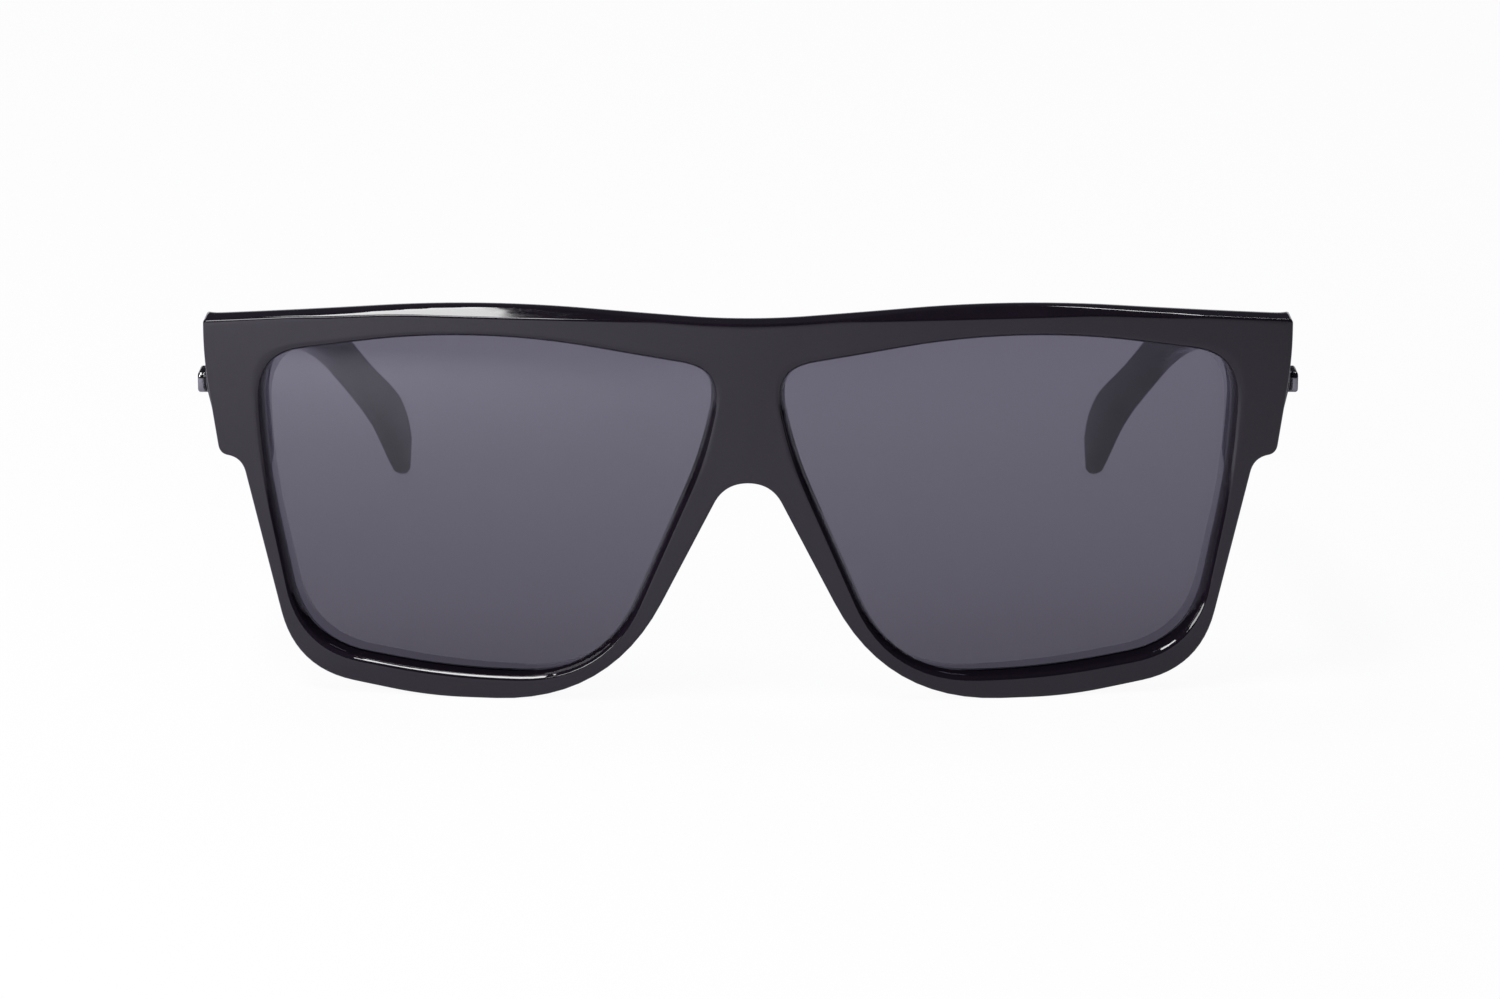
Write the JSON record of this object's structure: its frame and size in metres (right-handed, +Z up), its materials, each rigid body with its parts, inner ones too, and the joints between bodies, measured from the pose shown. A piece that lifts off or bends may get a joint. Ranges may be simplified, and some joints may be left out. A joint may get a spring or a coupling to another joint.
{
  "type": "sunglasses",
  "caption": "Flat-top acetate sunglasses with dark grey lenses, temples that fold inwards on barrel hinges, and plain metal side badges.",
  "frame": {"origin": "middle of the whole box at table level, with the temples open", "axes": "+Z up, +X towards the wearer's left, -Y the way the wearer looks"},
  "size_m": [0.15, 0.1402, 0.0534],
  "materials": {
    "acetate": "tumbled and polished black acetate",
    "smoke_lens": "dark grey, see-through, polished",
    "hinge_steel": "satin",
    "screw_steel": "satin",
    "wire_steel": "drawn",
    "rivet_steel": "satin",
    "badge_steel": "polished, blank"
  },
  "bodies": {
    "front": {"front_frame": "acetate", "lens_left": "smoke_lens", "lens_right": "smoke_lens", "nose_pad_left": "acetate", "nose_pad_right": "acetate", "front_hinge_left": "hinge_steel", "front_hinge_right": "hinge_steel", "hinge_screw_left": "screw_steel", "hinge_screw_right": "screw_steel"},
    "left_arm": {"temple_left": "acetate", "temple_hinge_left": "hinge_steel", "core_wire_left": "wire_steel", "rivet_front_left": "rivet_steel", "rivet_rear_left": "rivet_steel", "badge_left": "badge_steel"},
    "right_arm": {"temple_right": "acetate", "temple_hinge_right": "hinge_steel", "core_wire_right": "wire_steel", "rivet_front_right": "rivet_steel", "rivet_rear_right": "rivet_steel", "badge_right": "badge_steel"}
  },
  "joints": [
    {"name": "left_fold", "type": "hinge", "parent": "front", "child": "left_arm", "pos_m": [0.06807, -0.0512, 0.041], "axis": [0, 0, 1], "range_deg": [0, 84]},
    {"name": "right_fold", "type": "hinge", "parent": "front", "child": "right_arm", "pos_m": [-0.06807, -0.0512, 0.041], "axis": [0, 0, -1], "range_deg": [0, 79]}
  ]
}
